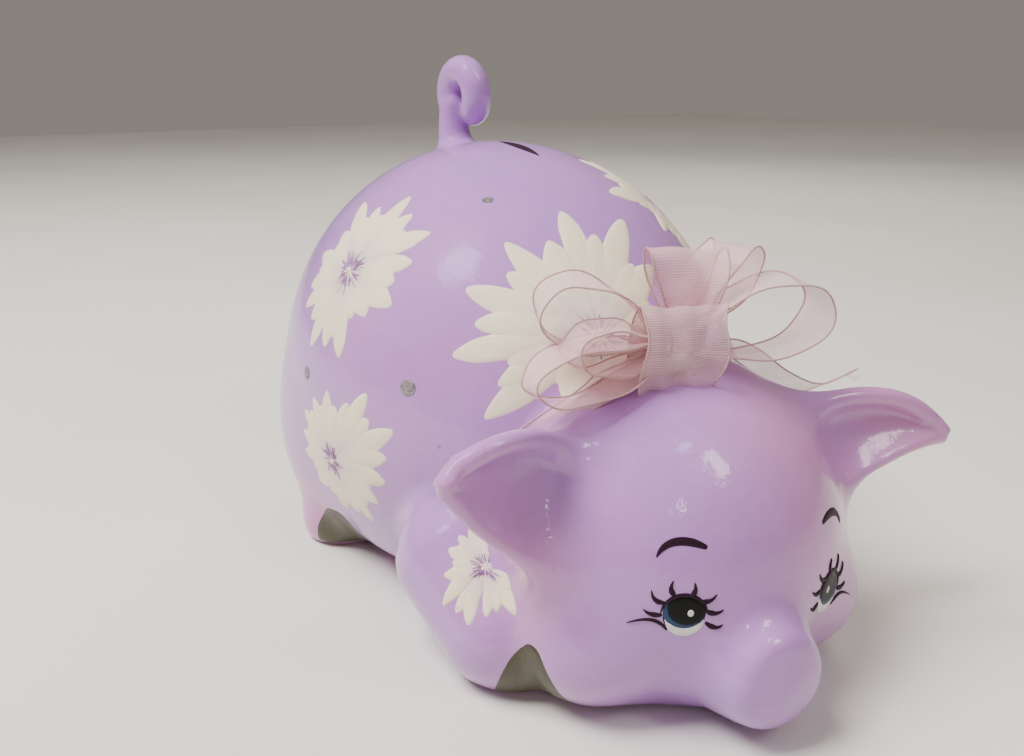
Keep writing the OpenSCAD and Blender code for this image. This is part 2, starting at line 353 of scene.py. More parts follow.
def bisque_material(name, dark, light):
    n = Nodes(name)
    where = n.position()
    n.link(n.ramp(n.noise(where, 40, 5, 0.6), (0.3, dark), (0.7, light)), "Base Color")
    n.link(n.bump(n.noise(where, 500, 3), 0.3, 0.0003), "Normal")
    n.set(Roughness=0.9)
    return n.material


def paint_material(name, light, dark, under, cover, rough, coat,
                   streak=(14, 1.2, 1), relief=0.0004, shine=0.5):
    """Brushed paint: streaks run along the stroke, and the glaze shows where the brush ran dry."""
    n = Nodes(name)
    uv = n.strokes(streak)
    hair = n.noise(uv, 3.2, 5, 0.65, 0.35)
    fine = n.noise(n.strokes((streak[0] * 2.6, streak[1] * 1.4, 1)), 4.5, 3, 0.5)
    blotch = n.noise(n.position(), 120, 3, 0.5)
    colour = n.mix(n.span(hair, 0, 1, 0.32, 0.68), dark, light)
    colour = n.mix(n.span(blotch, 0.0, 0.35, 0.45, 0.75), colour, dark)
    colour = n.mix(n.span(fine, cover, 0.0, 0.30, 0.55), colour, under)
    along = n.node("ShaderNodeSeparateXYZ", Vector=n.strokes((1, 1, 1))).outputs["Y"]
    colour = n.mix(n.span(along, cover * 1.2, 0.0, 0.05, 0.55), colour, under)
    n.link(colour, "Base Color")
    n.link(n.span(hair, rough, rough + 0.14), "Roughness")
    n.link(n.bump(hair, 0.45, relief), "Normal")
    n.set(Coat_Weight=coat, Coat_Roughness=0.12, Specular_IOR_Level=shine)
    return n.material


def iris_material():
    n = Nodes("iris_paint")
    radius = n.node("ShaderNodeSeparateXYZ", Vector=n.strokes((1, 1, 1))).outputs["X"]
    spokes = n.noise(n.strokes((1.5, 16, 1)), 3, 4, 0.6)
    wobble = n.node("ShaderNodeMath", operation="MULTIPLY_ADD")
    n.link(spokes, wobble.inputs[0])
    wobble.inputs[1].default_value = 0.22
    n.link(radius, wobble.inputs[2])
    n.link(n.ramp(wobble.outputs[0], (0.72, rgb(12, 12, 10)), (0.96, rgb(13, 20, 29)),
                  (1.16, rgb(26, 42, 68)), (1.32, rgb(44, 68, 100))), "Base Color")
    n.link(n.bump(spokes, 0.2, 0.0002), "Normal")
    n.set(Roughness=0.42, Coat_Weight=0.08, Coat_Roughness=0.12, Specular_IOR_Level=0.12)
    return n.material


def glitter_material():
    n = Nodes("glitter_paint")
    cells = n.node("ShaderNodeTexVoronoi", Vector=n.position(), Scale=1500.0)
    n.link(n.mix(cells.outputs["Color"], rgb(96, 88, 96), rgb(176, 166, 172)), "Base Color")
    n.link(n.bump(cells.outputs["Distance"], 0.6, 0.0004), "Normal")
    n.set(Roughness=0.32, Metallic=0.35)
    return n.material


def organza_material(name, tint, low, high, moire_mm, contrast):
    """Sheer woven ribbon: fine threads both ways, and moire lines across it where layers cross."""
    n = Nodes(name)
    uv = n.strokes((1, 1, 1))
    per_metre = math.pi / 10 * 1000  # the wave texture's scale for one line per millimetre
    warp_mm, weft_mm = 0.45, 0.5
    warp, weft = (n.node("ShaderNodeTexWave", Vector=uv, Scale=per_metre / mm, Distortion=0.8,
                         bands_direction=axis) for mm, axis in ((warp_mm, "X"), (weft_mm, "Y")))
    threads = n.mix(0.5, warp.outputs["Color"], weft.outputs["Color"])
    moire = n.node("ShaderNodeTexWave", Vector=uv, Scale=per_metre / moire_mm, Distortion=9.0, Detail=1.0,
                   bands_direction="Y")
    moire.inputs["Detail Scale"].default_value = 0.05
    lines = moire.outputs["Fac"]
    shade = n.noise(n.position(), 110, 3, 0.5)
    banded = n.span(lines, 0.5 - contrast, 0.5 + contrast)
    colour = n.mix(banded, tint, rgb(250, 222, 226))
    colour = n.mix(n.span(shade, 0.0, 0.35, 0.4, 0.8), colour, rgb(206, 150, 176))
    n.link(colour, "Base Color")
    cover = n.mix(banded, threads, n.span(shade, 0.2, 1.0, 0.3, 0.7))
    n.link(n.span(cover, low, high), "Alpha")
    n.link(n.span(shade, 0.32, 0.5), "Roughness")
    n.link(n.bump(lines, 0.3, 0.0003, n.bump(threads, 0.3, 0.0001)), "Normal")
    n.set(Sheen_Weight=0.35, Sheen_Roughness=0.4)
    return n.material


def thread_material(name, light, dark, rough, metal=0.0):
    n = Nodes(name)
    twist = n.node("ShaderNodeTexWave", Vector=n.position(), Scale=700.0, Distortion=2.0,
                   bands_direction="DIAGONAL")
    n.link(n.mix(twist.outputs["Fac"], dark, light), "Base Color")
    n.link(n.bump(twist.outputs["Fac"], 0.35, 0.0001), "Normal")
    n.set(Roughness=rough, Metallic=metal)
    return n.material


def rubber_material():
    n = Nodes("stopper_rubber")
    where = n.position()
    n.link(n.ramp(n.noise(where, 160, 4, 0.6), (0.35, rgb(42, 41, 45)), (0.7, rgb(62, 60, 64))), "Base Color")
    n.link(n.span(n.noise(where, 60, 3), 0.45, 0.65), "Roughness")
    n.link(n.bump(n.noise(where, 1200, 2), 0.25, 0.0001), "Normal")
    return n.material


def glue_material():
    n = Nodes("hot_glue")
    where = n.position()
    n.link(n.ramp(n.noise(where, 260, 3), (0.3, rgb(226, 214, 188)), (0.7, rgb(240, 232, 212))), "Base Color")
    n.link(n.bump(n.noise(where, 420, 2), 0.5, 0.0005), "Normal")
    n.set(Roughness=0.35, Subsurface_Weight=0.3, Coat_Weight=0.3)
    return n.material


GLAZE = glaze_material()
BISQUE = bisque_material("bisque_inside", rgb(196, 184, 168), rgb(224, 216, 202))
# painted shade: the slot's walls get a dark plum that stands in for the shade deep inside the slot
SLOT_PAINTED_SHADE = bisque_material("slot_wall_painted_shade", rgb(58, 40, 54), rgb(84, 62, 80))
LILAC = rgb(196, 172, 214)
PETAL = paint_material("petal_paint", rgb(255, 248, 218), rgb(246, 230, 192), LILAC, 0.42, 0.34, 0.3)
PLUM = paint_material("plum_strokes", rgb(156, 92, 168), rgb(118, 62, 132), rgb(206, 172, 210),
                      0.45, 0.4, 0.2)
BROW = paint_material("brow_paint", rgb(44, 18, 40), rgb(26, 10, 24), rgb(66, 38, 64),
                      0.12, 0.46, 0.06, shine=0.16)
SCLERA = paint_material("eye_white", rgb(240, 238, 232), rgb(214, 212, 212), rgb(196, 190, 206),
                        0.2, 0.3, 0.6)
IRIS = iris_material()
OLIVE = paint_material("hoof_paint", rgb(68, 65, 40), rgb(50, 48, 28), rgb(84, 79, 54),
                       0.2, 0.34, 0.15, (5, 1.5, 1), 0.0006)
GLITTER = glitter_material()
ORGANZA = organza_material("organza", rgb(236, 176, 192), 0.34, 0.66, 0.9, 0.25)
ORGANZA_BAND = organza_material("organza_band", rgb(176, 112, 142), 0.34, 0.86, 0.70, 0.30)
WIRED_EDGE = thread_material("wired_edge", rgb(216, 178, 172), rgb(176, 134, 138), 0.35)
THREAD = thread_material("ribbon_threads", rgb(244, 238, 226), rgb(214, 200, 190), 0.5)
GOLD = thread_material("gold_wire", rgb(214, 170, 96), rgb(160, 116, 58), 0.25, 1.0)


# ------------ ears and tail
def bend(a, b, c, t):
    """A curve from a to c, pulled towards b."""
    a, b, c = (np.asarray(x, float) for x in (a, b, c))
    return a * (1 - t) ** 2 + b * 2 * t * (1 - t) + c * t * t


class Luted:
    """A piece of clay stuck to the casting, whose distance is worked out only near it."""

    def bound(self, points, margin):
        self.low, self.high = points.min(0) - margin, points.max(0) + margin

    def distance(self, p):
        d = np.full(p.shape[:-1], 1e3)
        near = np.all((p > self.low) & (p < self.high), axis=-1)
        d[near] = self.near_distance(p[near])
        return d


class Ear(Luted):
    """A leaf of clay between two bent edges, cupped forward, with its top edge rolled over."""

    def __init__(self, side, top, crown, low, belly, tip, cup, roll):
        rows, columns = 64, 40
        s, u = np.meshgrid(np.linspace(0, 0.985, rows), np.linspace(-1, 1, columns), indexing="ij")
        s, u = s[..., None], u[..., None]
        high, deep = bend(top, crown, tip, s), bend(low, belly, tip, s)
        mid = deep * (1 - u) / 2 + high * (1 + u) / 2
        hollow = cup * (1 - u * u) * np.sin(np.radians(30 + 150 * s)) * (1 - s ** 6)
        lip = roll * np.clip((u - 0.45) / 0.55, 0, 1) ** 2 * np.sin(np.pi * np.clip(s * 1.15, 0, 1)) ** 0.8
        mid = mid + np.concatenate([0 * u, hollow - lip, -0.25 * lip], -1)
        mid[..., 0] *= side
        self.points = from_head(mid).reshape(-1, 3)
        self.thick = (2.7 - 0.8 * s + 1.0 * np.clip(u, 0, 1) ** 2 + 1.8 * s ** 5 + 0 * u).reshape(-1)
        quads = grid_faces(rows, columns)
        self.triangles = np.concatenate([quads[:, [0, 1, 2]], quads[:, [0, 2, 3]]])
        self.tree = BVHTree.FromPolygons(self.points.tolist(), self.triangles.tolist())
        self.bound(self.points, 24)

    def near_distance(self, q):
        found = []
        for point in q:
            _, _, face, away = self.tree.find_nearest(Vector(point))
            found.append(away - self.thick[self.triangles[face][0]])
        return found


TAIL_R, STEM_PART = 6.4, 0.16
CURL_R, CURL_Y, CURL_Z = 9.0, 31.0, 192.0
CURL_FROM, CURL_SWEEP, CURL_ASIDE = -40, 322, 5  # degrees, degrees, mm


class Rope(Luted):
    """The tail: a rolled rope of clay, curled into one loop."""

    def __init__(self):
        root, bent = (0, 33.0, 161.0), (0, 39.0, 171.0)
        points, radii = [], []
        for t in np.linspace(0, 1, 120):
            if t < STEM_PART:
                points.append(bend(root, bent, self.curl(0), t / STEM_PART))
            else:
                points.append(self.curl((t - STEM_PART) / (1 - STEM_PART)))
            taper = 3.6 * ((t - 0.86) / 0.14) ** 2 if t > 0.86 else 0
            radii.append(TAIL_R + 2.1 * max(0, 1 - t / 0.14) - taper)
        self.a, self.b = np.array(points[:-1]), np.array(points[1:])
        self.radius = np.array(radii)
        self.bound(self.a, 20)

    def curl(self, k):
        a = math.radians(CURL_FROM + CURL_SWEEP * k)
        return np.array([CURL_ASIDE * k * k, CURL_Y + CURL_R * math.cos(a), CURL_Z + CURL_R * math.sin(a)])

    def near_distance(self, q):
        best = np.full(len(q), 1e3)
        for a, b, ra, rb in zip(self.a, self.b, self.radius, self.radius[1:]):
            best = np.minimum(best, bar(q, a, b, ra, rb))
        return best


LUTED = {
    "ear_right": Ear(-1, (42, -13, 41), (72, -24, 70), (54, -26, 8), (80, -38, 24), (91, -30, 44), 5.5, 6),
    "ear_left": Ear(1, (44, -15, 42), (84, -22, 58), (54, -26, 12), (78, -32, 29), (104, -29, 29), 5.5, 2.5),
    "tail": Rope(),
}
FILLET = {"ear_right": 18.0, "ear_left": 16.0, "tail": 7.0}


def whole_d(p):
    d = pig_d(p)
    for name, part in LUTED.items():
        d = smin(d, part.distance(p), FILLET[name])
    return d


# ------------ skin
def skin_points():
    """The glazed surface as quads on a fine grid, and the cavity's wall on a coarser one."""
    cell = 1.5
    low = np.array([-99.0, -190.0, -4.5])
    count = np.ceil(np.array([200.0, 305.0, 215.0]) / cell).astype(int)
    axes = [low[k] + cell * np.arange(count[k]) for k in range(3)]
    grid = np.stack(np.meshgrid(*axes, indexing="ij"), -1)
    pig = np.concatenate([pig_d(slab) for slab in np.array_split(grid, 8)])
    total = pig
    for name, part in LUTED.items():
        total = smin(total, part.distance(grid), FILLET[name])
    shells = []
    for values, level, size in ((total, 0.0, cell), (pig[::2, ::2, ::2], -WALL, 2 * cell)):
        volume = openvdb.FloatGrid(50.0)
        volume.copyFromArray(np.ascontiguousarray(np.clip(values, -50, 50)).astype(np.float32))
        points, _, quads = volume.convertToPolygons(isovalue=level, adaptivity=0.0)
        shells.append((low + size * np.asarray(points, float), np.asarray(quads, int)))
    return shells


def outward(points, quads, field):
    """Quads turned so that their normals point out of the field's inside."""
    a, b, c = (points[quads[:, k]] for k in range(3))
    middle = points[quads].mean(1)
    normal = np.cross(b - a, c - a)
    sample = slice(None, None, 50)
    agrees = (normal[sample] * slope(field, middle[sample], 1.0)).sum(-1)
    return quads if np.median(agrees) > 0 else quads[:, ::-1]


def lens_cutter(name, half_length, half_width, centre, bottom, top):
    """The coin slot's cutter: two arcs that meet at the ends."""
    arc = (half_length ** 2 + half_width ** 2) / (2 * half_width)
    swing = math.asin(half_length / arc)
    angles = np.linspace(-swing, swing, 25)
    right = np.stack([arc * np.cos(angles) - arc + half_width, arc * np.sin(angles)], -1)
    left = (right * [-1, 1])[::-1]
    outline = np.concatenate([right, left[1:-1]])
    return prism(name, outline + np.array(centre), bottom, top)


def prism(name, outline, bottom, top):
    n = len(outline)
    points = [(*q, z) for z in (bottom, top) for q in outline]
    faces = [[i, (i + 1) % n, n + (i + 1) % n, n + i] for i in range(n)]
    faces += [list(range(n))[::-1], list(range(n, 2 * n))]
    return new_mesh(name, points, faces, smooth=False)


def round_outline(radius, centre, sides=96):
    a = np.linspace(0, 2 * math.pi, sides, endpoint=False)
    return np.stack([centre[0] + radius * np.cos(a), centre[1] + radius * np.sin(a)], -1)


def cut(obj, *cutters):
    for cutter in cutters:
        modifier = obj.modifiers.new(cutter.name, "BOOLEAN")
        modifier.operation, modifier.solver, modifier.object = "DIFFERENCE", "MANIFOLD", cutter
    evaluated = obj.evaluated_get(bpy.context.evaluated_depsgraph_get())
    mesh = bpy.data.meshes.new_from_object(evaluated)
    obj.modifiers.clear()
    obj.data = mesh
    for cutter in cutters:
        bpy.data.objects.remove(cutter)


def capped(points, faces):
    """Closes each open boundary loop with a cone whose point lies inside the clay wall."""
    edges = dict.fromkeys((int(a), int(b)) for f in faces for a, b in zip(f, np.roll(f, -1)))
    after = {b: a for a, b in edges if (b, a) not in edges}
    extra_points, extra_faces = [], []
    while after:
        first = next(iter(after))
        loop, at = [first], after.pop(first)
        while at != first and at in after:
            loop.append(at)
            at = after.pop(at)
        centre = len(points) + len(extra_points)
        middle = points[loop].mean(0)[None]
        middle = middle - slope(pig_d, middle) * (pig_d(middle) + 2.5)[:, None]
        extra_points.append(middle[0])
        extra_faces += [[loop[i], loop[(i + 1) % len(loop)], centre] for i in range(len(loop))]
    if extra_points:
        points = np.concatenate([points, np.array(extra_points)])
    return points, [list(f) for f in faces] + extra_faces


def build_skin():
    (points, quads), (inner, inner_quads) = skin_points()
    points = points - slope(whole_d, points, 0.4) * whole_d(points)[:, None]
    quads = outward(points, quads, pig_d)
    inner_quads = outward(inner, inner_quads, pig_d)[:, ::-1]
    middle = points[quads].mean(1)
    body = pig_d(middle)
    label = np.zeros(len(quads), int)
    for number, part in enumerate(LUTED.values(), 1):
        label[part.distance(middle) < body] = number
    made = {}
    for number, name in enumerate(["ceramic_body", *LUTED]):
        chosen = quads[label == number]
        used, index = np.unique(chosen, return_inverse=True)
        piece, faces = capped(points[used], index.reshape(-1, 4))
        if number == 0:
            faces = faces + (inner_quads + len(piece)).tolist()
            piece = np.concatenate([piece, inner])
        made[name] = new_mesh(name + "_glazed", piece, faces)
    return made


SKIN = build_skin()
SLOT_Y, SLOT_HALF_LEN, SLOT_HALF_W = -15.0, 15.5, 2.8
HOLE_Y, HOLE_R, RECESS_R, RECESS_Z = 12.0, 16.0, 20.6, 5.2
cut(SKIN["ceramic_body"],
    lens_cutter("slot_cutter", SLOT_HALF_LEN, SLOT_HALF_W, (0, SLOT_Y), 140, 185),
    prism("hole_cutter", round_outline(HOLE_R, (0, HOLE_Y)), -2, 19),
    prism("recess_cutter", round_outline(RECESS_R, (0, HOLE_Y)), -2, RECESS_Z))
for name, piece in SKIN.items():
    mesh = piece.data
    mesh.materials.clear()
    mesh.materials.append(GLAZE)
    mesh.shade_smooth()
    mesh.set_sharp_from_angle(angle=math.radians(42))
    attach(piece, BODY)
    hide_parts(name)
casting = SKIN["ceramic_body"].data
casting.materials.append(BISQUE)
casting.materials.append(SLOT_PAINTED_SHADE)
centres = np.zeros(len(casting.polygons) * 3)
casting.polygons.foreach_get("center", centres)
centres = centres.reshape(-1, 3) * 1000
depth = pig_d(centres - STAND)
finish_and_slot_shade = np.where(depth < -1.5, 1, 0)  # the inside is unglazed
finish_and_slot_shade[(depth < -0.5) & (depth > -WALL - 0.5) & (centres[:, 2] > 120)] = 2  # the slot's walls: painted shade, a dark plum for the shade deep in the slot
casting.polygons.foreach_set("material_index", finish_and_slot_shade.astype(np.int32))


# ------------ painted decoration
class Spot:
    """A flat frame on the skin: x to the viewer's right, y up, both in millimetres."""

    def __init__(self, near, roll=0.0, scale=1.0, flip=False):
        p = np.array([near], float)
        for _ in range(8):
            p = p - slope(pig_d, p) * pig_d(p)[:, None]
        self.origin, self.normal = p[0], slope(pig_d, p)[0]
        up = np.array([0, 0, 1.0]) - self.normal[2] * self.normal
        up /= np.linalg.norm(up)
        right = np.cross(up, self.normal)
        c, s = math.cos(math.radians(roll)), math.sin(math.radians(roll))
        self.right, self.up = c * right + s * up, c * up - s * right
        self.scale, self.flip = scale, flip

    def lay(self, xy, top, base, reach=30.0):
        """The skin under the flat pattern, as two layers of points raised by top and by base."""
        xy = np.asarray(xy, float).reshape(-1, 2) * self.scale
        if self.flip:
            xy = xy * [-1, 1]
        p = self.origin + xy[:, :1] * self.right + xy[:, 1:] * self.up + reach * self.normal
        for _ in range(70):
            d = pig_d(p)
            p = p - self.normal * (0.9 * d)[:, None]
            if np.abs(d).max() < 0.004:
                break
        out = slope(pig_d, p)
        return np.concatenate([p + out * np.reshape(top, (-1, 1)), p + out * base])


SUNK = -0.25  # how far a stroke's rim lies under the glaze, mm


class Paint:
    """Collects brush strokes and makes them one mesh: each is a low pillow with its rim in the skin."""

    def __init__(self, name, material):
        self.name, self.material = name, material
        self.parts, self.uv = [], []

    def add(self, points, faces, uv, inside_out):
        self.parts.append((points, [f[::-1] for f in faces] if inside_out else faces))
        self.uv += [uv, uv]

    def stroke(self, spot, edge_a, edge_b, across=9, height=0.3, level=0.0):
        """The area between two edges, each an array of flat points from the stroke's start to its end."""
        edge_a, edge_b = np.asarray(edge_a, float), np.asarray(edge_b, float)
        along = len(edge_a)
        v = np.linspace(0, 1, across)
        xy = edge_a[:, None] * (1 - v)[:, None] + edge_b[:, None] * v[:, None]
        t = np.linspace(0, 1, along)
        rise = (np.clip(4 * v * (1 - v), 0, 1) ** 0.5)[None] * np.clip(8 * t * (1 - t), 0, 1)[:, None] ** 0.5
        flat = spot.lay(xy.reshape(-1, 2), (SUNK + rise * (height + level - SUNK)).ravel(), SUNK - 0.2)
        up_face = grid_faces(along, across)
        faces = [list(f) for f in up_face] + [list(f[::-1]) for f in up_face + along * across]
        rim = [(i * across, (i + 1) * across) for i in range(along - 1)]
        rim += [((along - 1) * across + j, (along - 1) * across + j + 1) for j in range(across - 1)]
        rim += [((i + 1) * across + across - 1, i * across + across - 1) for i in range(along - 1)]
        rim += [(j + 1, j) for j in range(across - 1)]
        faces += [[a, b, b + along * across, a + along * across] for a, b in rim]
        a, b, c = flat[up_face[:, 0]], flat[up_face[:, 1]], flat[up_face[:, 2]]
        seed = 3.7 * (len(self.parts) + 1)
        uv = np.stack(np.broadcast_arrays(v[None] + seed, t[:, None]), -1).reshape(-1, 2)
        self.add(flat, faces, uv, (np.cross(b - a, c - a) @ spot.normal).sum() < 0)

    def line(self, spot, controls, widths, steps=14, across=5, height=0.28, level=0.0):
        """A stroke along a Bezier line; widths are its half widths from start to end."""
        t = np.linspace(0, 1, steps)
        path = bezier(controls, t)
        way = np.gradient(path, axis=0)
        way /= np.linalg.norm(way, axis=1, keepdims=True)
        side = np.stack([-way[:, 1], way[:, 0]], -1)
        half = np.interp(t, np.linspace(0, 1, len(widths)), widths)[:, None]
        self.stroke(spot, path - side * half, path + side * half, across, height, level)

    def oval(self, spot, centre, radii, rings=6, sides=36, height=0.25, focus=(0, 0)):
        """An oval patch, with its uv as (radius from the focus, angle)."""
        around = np.linspace(0, 2 * math.pi, sides, endpoint=False)
        rim = np.stack([radii[0] * np.cos(around), radii[1] * np.sin(around)], -1)
        share = np.linspace(0, 1, rings + 1)[1:]
        xy = np.concatenate([[centre]] + [np.array(centre) + rim * k for k in share])
        k = np.concatenate([[0.0], np.repeat(share, sides)])
        lift = SUNK + (height - SUNK) * np.sqrt(np.clip(1 - k ** 6, 0, 1))
        flat = spot.lay(xy, lift, SUNK - 0.2)
        m = len(xy)
        fan = [[0, 1 + i, 1 + (i + 1) % sides] for i in range(sides)]
        body = [[a, d, c, b] for a, b, c, d in grid_faces(rings, sides, wrap=True, start=1)]
        up_face = fan + body  # the side that shows
        last = 1 + (rings - 1) * sides
        rim_edges = [(last + i, last + (i + 1) % sides) for i in range(sides)]
        wall = [[i, m + i, m + j, j] for i, j in rim_edges]
        faces = up_face + [[x + m for x in f[::-1]] for f in up_face] + wall
        angle = np.concatenate([[0.0], np.tile(np.arange(sides) / sides, rings)])
        unit = np.stack([k * np.cos(2 * math.pi * angle), k * np.sin(2 * math.pi * angle)], -1)
        uv = np.stack([np.linalg.norm(unit - np.array(focus), axis=1), angle], -1)
        self.add(flat, faces, uv, np.cross(flat[1] - flat[0], flat[2] - flat[0]) @ spot.normal < 0)

    def done(self):
        add_uv(bank_piece(self.name, *merged(self.parts), self.material), np.concatenate(self.uv))


def petal_edges(angle, length, width, start, curl, seed):
    """The two edges of one petal: narrow at the heart, widest past the middle, ending in a soft point."""
    t = np.linspace(0, 1, 26)
    half = width / 2 * np.minimum(1, 1.46 * t ** 0.5 * np.clip(1 - t ** 3.2, 0, 1) ** 0.85)
    half = half * (1 + 0.07 * np.sin(9 * t + seed)) + 0.5 * np.sin(21 * t + 2.1 * seed) * t * (1 - t)
    way = np.array([math.cos(math.radians(angle)), math.sin(math.radians(angle))])
    side = np.array([-way[1], way[0]])
    spine = np.outer(start + (length - start) * t, way) + np.outer(curl * t * (1 - t) * 4, side)
    return spine - half[:, None] * side, spine + half[:, None] * side


def daisy(name, spot, petals, heart, strokes, seed):
    """petals are (angle, length, width); heart is the radius of the brushed purple middle."""
    rng = np.random.default_rng(seed)
    white = Paint(name + "_petals", PETAL)
    order = sorted(range(len(petals)), key=lambda i: (i % 2, i))
    for place, i in enumerate(order):
        angle, length, width = petals[i]
        curl = rng.uniform(-1.2, 1.2)
        a, b = petal_edges(angle, length, width, 0.06 * length, curl, seed + i)
        white.stroke(spot, a, b, 11, 0.32, 0.10 * (place % 2) + 0.10 * (i % 2))
    white.oval(spot, (0, 0), (heart * 0.45, heart * 0.45), height=0.4)
    white.done()
    plum = Paint(name + "_heart", PLUM)
    for i in range(strokes):
        angle = math.radians(360 * i / strokes + rng.uniform(-9, 9))
        near, far = rng.uniform(0.0, 0.4) * heart, rng.uniform(0.5, 1.3) * heart
        way = np.array([math.cos(angle), math.sin(angle)])
        lean = rng.uniform(-0.18, 0.18) * heart * np.array([-way[1], way[0]])
        wide = rng.uniform(0.25, 0.62)
        off = min(abs((math.degrees(angle) - a + 180) % 360 - 180) for a, _, _ in petals)
        if off <= 24:  # degrees: no stroke where the flower has no petal
            plum.line(spot, [way * near, way * (near + far) / 2 + lean, way * far],
                      [wide * 0.7, wide, 0.08], 9, 4, 0.55, 0.1)
    plum.done()


def fan_of(petals, narrow, wide, seed):
    """Gives each petal a width, and fills wide gaps between them with shorter petals laid first."""
    rng = np.random.default_rng(seed)
    drawn = [(a, r, rng.uniform(narrow, wide)) for a, r in petals]
    ring = sorted(petals) + [(min(petals)[0] + 360, min(petals)[1])]
    under = [((a + b) / 2, 0.86 * min(p, q), wide)
             for (a, p), (b, q) in zip(ring, ring[1:]) if 19 < b - a < 60]
    return under + drawn


# each petal is (angle in degrees, length in mm)
UPPER = [(20, 32), (39, 38), (62, 33), (80, 37), (104, 30), (128, 38), (144, 26), (172, 31), (199, 31),
         (214, 34), (248, 36), (267, 31), (287, 34), (324, 24), (347, 31)]
LOWER = [(17, 36), (30, 44), (54, 41), (63, 31), (90, 29), (117, 26), (146, 26), (170, 25),
         (192, 26), (225, 26), (266, 26), (292, 25), (306, 30), (335, 28), (359, 32)]
NAPE = [(20, 30), (47, 40), (68, 54), (82, 42), (95, 53), (107, 41), (124, 49), (136, 40), (150, 50),
        (165, 43), (178, 50), (198, 38), (208, 47), (235, 26), (270, 22), (310, 22), (345, 24)]
PAW = [(117, 16), (136, 15), (158, 15), (176, 12), (193, 15), (223, 19), (240, 18), (259, 20), (277, 17),
       (291, 16), (307, 20), (318, 13), (98, 9)]

# name, place, roll, mirrored, petals, narrowest, widest, heart radius, heart strokes, seed
DAISIES = [
    ("daisy_flank_high", (-75.1, -12.6, 128.8), 0, False, UPPER, 9.5, 12.5, 9, 46, 3),
    ("daisy_flank_low", (-89.8, -18.8, 56.5), 0, False, LOWER, 9.5, 12, 7.5, 36, 5),
    ("daisy_nape", (-22, -99.2, 115.2), 0, False, NAPE, 11.5, 14.5, 9, 30, 7),
    ("daisy_foreleg", (-69.5, -101.3, 42.7), 0, False, PAW, 5.0, 6.6, 5.5, 34, 9),
    ("daisy_crest", (48, -44, 148), 15, False, UPPER, 9, 12, 8, 26, 11),
    ("daisy_left_low", (90, -14, 58), 0, True, LOWER, 8.5, 11, 7, 26, 13),
    ("daisy_left_foreleg", (69.6, -101.6, 42.9), 0, True, PAW, 4.6, 6.2, 5, 20, 15),
    ("daisy_rump", (-66, 76, 74), 40, False, UPPER, 9, 12, 8, 26, 17),
    ("daisy_left_rump", (56, 84, 92), -30, False, LOWER, 9, 11.5, 7.5, 26, 19),
]
for name, place, roll, flip, petals, narrow, wide, heart, strokes, seed in DAISIES:
    daisy(name, Spot(place, roll, flip=flip), fan_of(petals, narrow, wide, seed), heart, strokes, seed)

# eyes: each lash is a curve's three points
LASHES = [((-5.4, 3.6), (-9.8, 3.0), (-10.0, 7.7)), ((-6.2, -0.4), (-10.4, -1.4), (-12.4, 1.2)),
          ((-2.6, 5.6), (-5.4, 7.6), (-3.3, 10.9)), ((1.6, 5.6), (4.0, 7.2), (2.6, 10.4)),
          ((3.8, 4.4), (8.0, 2.7), (9.9, 6.5)), ((6.0, 1.4), (9.6, -1.5), (12.3, 1.3)),
          ((6.3, -2.6), (9.8, -6.2), (12.2, -3.4))]


def eye(name, spot):
    white, iris = Paint(name + "_white", SCLERA), Paint(name + "_iris", IRIS)
    dot, line = Paint(name + "_glint", SCLERA), Paint(name + "_lashes", BROW)
    line.oval(spot, (0, -0.8), (7.25, 7.5), height=0.18)
    white.oval(spot, (0.1, -1.4), (6.75, 6.9), height=0.34)
    iris.oval(spot, (0.1, 0.3), (6.9, 6.2), height=0.46, rings=9, sides=48, focus=(0.12, 0.25))
    dot.oval(spot, (1.9, 0.5), (1.35, 1.6), height=0.6, rings=3, sides=24)
    lid = [(-7.1, -0.6), (-6.4, 8.0), (5.6, 8.6), (7.3, 0.0)]
    line.line(spot, lid, [0.3, 0.8, 0.8, 0.3], 22, 5, 0.55)
    for lash in LASHES:
        line.line(spot, lash, [0.55, 1.1, 0.62, 0.08], 14, 7, 0.5)
    corner = [(-4.6, -6.2), (-7.8, -0.6), (-13, -2.4), (-17.6, -4.1)]
    line.line(spot, corner, [0.6, 0.85, 0.48, 0.08], 20, 5, 0.5)
    for paint in (white, iris, dot, line):
        paint.done()


def brow(name, spot):
    paint = Paint(name, BROW)
    arch = [(-8.3, -4.4), (-6.4, 1.8), (0.6, 2.6), (7.6, -1.2)]
    paint.line(spot, arch, [0.3, 1.2, 1.6, 1.6, 0.9], 26, 7, 0.35)
    paint.done()


eye("eye_right", Spot((-36.5, -161.9, 46.4)))
brow("brow_right", Spot((-34.4, -157.8, 67.3)))
eye("eye_left", Spot((21.0, -169.8, 39.4), roll=-16, scale=1.1, flip=True))
brow("brow_left", Spot((24.0, -165.3, 63.6), roll=-12, scale=1.1, flip=True))


# hooves
def hoof(name, spot, left, right):
    paint = Paint(name, OLIVE)
    paint.stroke(spot, smooth_path(left, 26), smooth_path(right, 26), 19, 0.4)
    paint.done()


FRONT_L = [(-15, -13.5), (-12.6, -8), (-7, 4), (-0.6, 11.6), (2.4, 13.8)]
FRONT_R = [(19, -13.5), (16, -6), (11.6, 4), (7.4, 11.0), (4.8, 13.8)]
HIND_L, HIND_R = [(-12, -12), (-10.5, -2), (-5, 7), (0, 13)], [(21, -12), (19, 2), (15, 11), (9, 16)]
for side, tag in ((1, "right"), (-1, "left")):
    hoof("hoof_front_" + tag, Spot((-67.7 * side, -124.3, 14.6), flip=side < 0), FRONT_L, FRONT_R)
    hoof("hoof_hind_" + tag, Spot((-80.8 * side, 7.6, 12), flip=side < 0), HIND_L, HIND_R)

